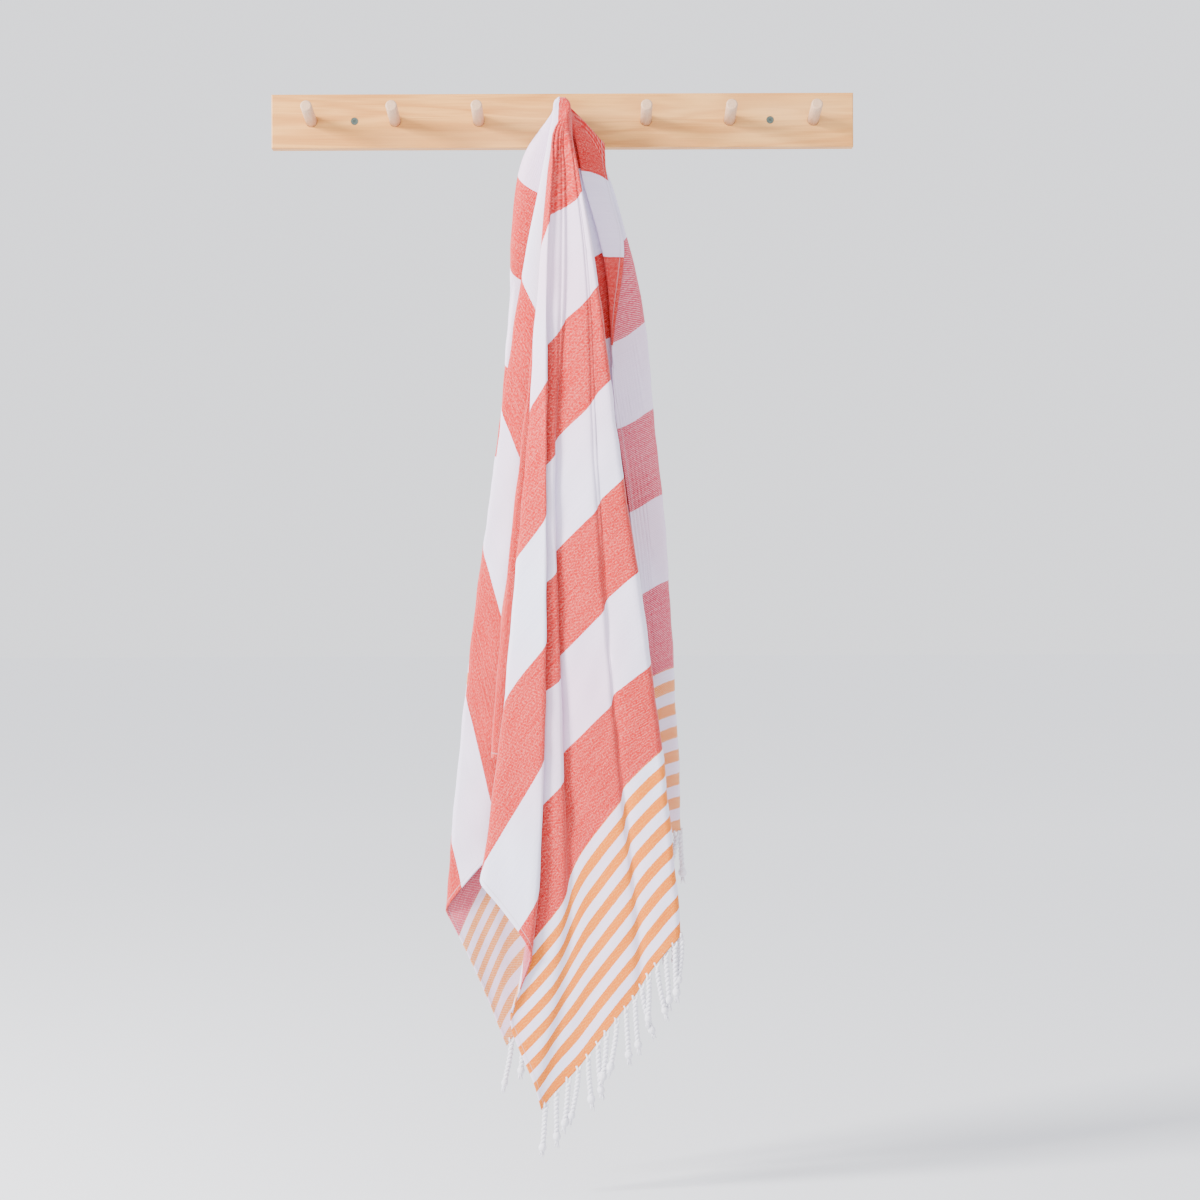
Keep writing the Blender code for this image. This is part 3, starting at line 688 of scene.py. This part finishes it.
def cloth_material(name, weave):
    """Striped flat weave. The stripes come from the cloth's own coordinates."""
    lean, pitch, share, shades = weave
    coral_dark, coral_light, orange_dark, orange_light, pale = [colour(text) for text in shades]
    n = Nodes(name)
    uv = n.add("ShaderNodeUVMap", uv_map="cloth").outputs[0]
    q, p = n.first_two(uv)
    v = n.math("SUBTRACT", TO_END_A, p)
    v = n.sway(v, n.noise(uv, (9.0, 9.0, 1.0)), STRIPE_WANDER)
    v = n.sway(v, n.noise(uv, (700.0, 300.0, 1.0), 1.0), STRIPE_FUZZ)
    edge = n.math("MINIMUM", v, n.math("SUBTRACT", FLAT_LENGTH, v))
    in_border = n.math("LESS_THAN", edge, BORDER)
    fine = n.math("FRACT", n.math("DIVIDE", edge, ORANGE_PITCH))
    orange = n.math("MULTIPLY", n.math("LESS_THAN", fine, 0.5), in_border)
    band = n.math("FRACT", n.math("DIVIDE", n.math("SUBTRACT", v, BORDER), 2 * BAND))
    inside = n.math("SUBTRACT", 1.0, in_border)
    coral = n.math("MULTIPLY", n.math("LESS_THAN", band, 0.5), inside)

    diagonal = n.math("ADD", q, n.math("MULTIPLY", p, lean))
    twill = n.math("SINE", n.math("MULTIPLY", diagonal, math.tau / pitch))
    twill = n.ramp(twill, -1.0, 1.0)
    specks = n.noise(uv, (360.0, 520.0, 1.0), 1.0, 0.6)
    slub = n.noise(uv, (14.0, 420.0, 1.0), 2.0, 0.6)
    speck = n.math("ADD", n.math("MULTIPLY", twill, share),
                   n.math("MULTIPLY", specks, 1.0 - share))
    speck = n.ramp(n.sway(speck, slub, 0.35), 0.44, 0.70, 0.0, 0.68)
    white = n.mix(n.ramp(slub, 0.3, 0.75), pale, colour(WHITE_SLUB))
    # Soft patches of painted pink bounce light from the coral, mixed into the white stripes
    tone_and_bounce = n.noise(uv, (5.0, 3.0, 1.0), 1.0)
    white = n.mix(n.ramp(tone_and_bounce, 0.35, 0.7, 0.0, 0.8), white, colour(PAINTED_BOUNCE_PINK))
    base = n.mix(coral, white, n.mix(speck, coral_dark, coral_light))
    base = n.mix(orange, base, n.mix(speck, orange_dark, orange_light))

    hem = n.math("MINIMUM", n.math("ADD", q, TO_FAR_SELVEDGE),
                 n.math("SUBTRACT", TO_NEAR_SELVEDGE, q))
    seam = n.math("COMPARE", hem, HEM_WIDTH, SEAM_HALF)
    base = n.mix(n.math("MULTIPLY", seam, 0.35), base, colour(SEAM))
    n.paint(base, {"Roughness": 0.92, "Sheen Weight": 0.25, "Specular IOR Level": 0.2})
    height = n.math("ADD", n.math("MULTIPLY", twill, 0.4), specks)
    height = n.math("SUBTRACT", height, n.math("MULTIPLY", seam, 1.5))
    n.bump(height, 0.0004, 0.6)
    return n.material


def cord_material():
    n = Nodes("fringe_cotton")
    hair = n.noise(n.spot(), (900.0, 900.0, 300.0))
    n.paint(n.mix(hair, colour("F4F4FA"), colour("D6D2DC")), {"Roughness": 0.95})
    n.bump(hair, 0.0003, 0.6)
    return n.material


def board_material():
    """Pine with long grain, its growth rings running along the board."""
    n = Nodes("pine_board")
    spot = n.spot()
    broad = n.noise(spot, (2.2, 10.0, 26.0), 3.0, 0.5, 0.6)
    growth = n.ramp(n.math("SINE", n.math("MULTIPLY", broad, 46.0)), -1.0, 1.0)
    fine = n.noise(spot, (18.0, 300.0, 900.0), 3.0, 0.6)
    shade = n.mix(n.math("MULTIPLY", growth, 0.5), colour("E0A054"), colour("B66E26"))
    shade = n.mix(n.ramp(fine, 0.45, 0.8, 0.0, 0.45), shade, colour("A8641F"))
    tone_and_bounce = n.noise(spot, (5.0, 20.0, 20.0))
    shade = n.mix(n.ramp(tone_and_bounce, 0.45, 0.75, 0.0, 0.45), shade, colour("E6B478"))
    n.paint(shade, {"Roughness": 0.48})
    n.bump(fine, 0.0002, 0.3)
    return n.material


def peg_material():
    n = Nodes("peg_wood")
    grain = n.noise(n.spot(), (500.0, 40.0, 500.0), 3.0, 0.6)
    n.paint(n.mix(grain, colour("DDBB9B"), colour("B98C6A")), {"Roughness": 0.55})
    n.bump(grain, 0.0002, 0.3)
    return n.material


def steel_material():
    n = Nodes("screw_steel")
    worn = n.noise(n.spot(), 900.0)
    n.paint(n.mix(worn, colour("4A554C"), colour("7C8880")), {"Metallic": 0.85, "Roughness": 0.42})
    return n.material


def make_peg(index, finish):
    """Smooth dowel peg with a bevelled end."""
    bm = bmesh.new()
    rings = ((PEG_RADIUS, -PEG_HIDDEN), (PEG_RADIUS, PEG_REACH - PEG_ROUNDING),
             (PEG_RADIUS - PEG_BEVEL, PEG_REACH - PEG_BEVEL),
             (PEG_RADIUS - PEG_ROUNDING, PEG_REACH))
    loops = [[bm.verts.new((radius * math.cos(a), radius * math.sin(a), z))
              for a in (math.tau * s / PEG_SIDES for s in range(PEG_SIDES))]
             for radius, z in rings]
    for near, far in zip(loops, loops[1:]):
        for s in range(PEG_SIDES):
            t = (s + 1) % PEG_SIDES
            bm.faces.new((near[s], near[t], far[t], far[s])).smooth = True
    bm.faces.new(loops[0][::-1])
    bm.faces.new(loops[-1])
    x = (index - (PEG_COUNT + 1) / 2) * PEG_PITCH
    turn = Matrix.Rotation(math.radians(90.0) - PEG_TILT, 4, "X")
    move = Matrix.Translation((x, -BOARD_THICK, 0.0)) @ turn
    bmesh.ops.transform(bm, matrix=move, verts=bm.verts)
    name = "dowel_%d" % index
    peg = add_object(name, mesh_from(bm, name, finish))
    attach(peg, "root")
    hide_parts("peg_%d" % index)


def dress(node, finish):
    """Give a CAD piece that stays as it is its material."""
    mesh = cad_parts[node].data
    mesh.materials.clear()
    mesh.materials.append(finish)


def area_light(name, place, target, size, power, tint):
    data = bpy.data.lights.new(name, "AREA")
    data.shape = "RECTANGLE"
    data.size, data.size_y = size
    data.energy = power
    data.color = tint
    lamp = add_object(name, data)
    lamp.location = place
    lamp.rotation_euler = (Vector(target) - Vector(place)).to_track_quat("-Z", "Y").to_euler()


def make_studio():
    world = bpy.data.worlds.new("studio")
    world.use_nodes = True
    back = world.node_tree.nodes["Background"]
    back.inputs["Color"].default_value = WORLD_TINT
    back.inputs["Strength"].default_value = WORLD_STRENGTH
    bpy.context.scene.world = world

    mesh = bpy.data.meshes.new("floor")
    corners = [(x * FLOOR_HALF, y * FLOOR_HALF, FLOOR_HEIGHT)
               for x, y in ((-1, -1), (1, -1), (1, 1), (-1, 1))]
    mesh.from_pydata(corners, [], [(0, 1, 2, 3)])
    n = Nodes("floor_paint")
    x, y = n.first_two(n.spot())
    far = n.math("SQRT", n.math("ADD", n.math("POWER", x, 2.0), n.math("POWER", y, 2.0)))
    n.paint(n.mix(n.ramp(far, *FLOOR_FADE), FLOOR_NEAR, FLOOR_FAR),
            {"Roughness": 1.0, "Specular IOR Level": 0.0})
    mesh.materials.append(n.material)
    add_object("floor", mesh)

    for lamp in LAMPS:
        area_light(*lamp)
    data = bpy.data.cameras.new("camera")
    data.lens = LENS
    data.sensor_width = SENSOR
    camera = add_object("camera", data)
    camera.location = CAMERA_PLACE
    camera.rotation_euler = CAMERA_TURN
    bpy.context.scene.camera = camera


pine = board_material()
steel = steel_material()
dowel = peg_material()
cotton = cord_material()
dress("rail_board", pine)
dress("screw_left", steel)
dress("screw_right", steel)
for number in range(1, PEG_COUNT + 1):
    make_peg(number, dowel)

cloth = make_towel((cloth_material("towel_face", FACE), cloth_material("towel_reverse", REVERSE)))
random = np.random.default_rng(7)
fringe_a = make_fringe("tassels_a", 1, random, cotton)
fringe_b = make_fringe("tassels_b", -1, random, cotton)
for piece, node, slot in ((cloth, "towel", "cloth"), (fringe_a, "fringe_a", "fringe"),
                          (fringe_b, "fringe_b", "fringe")):
    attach(piece, "root")
    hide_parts(node)
make_studio()
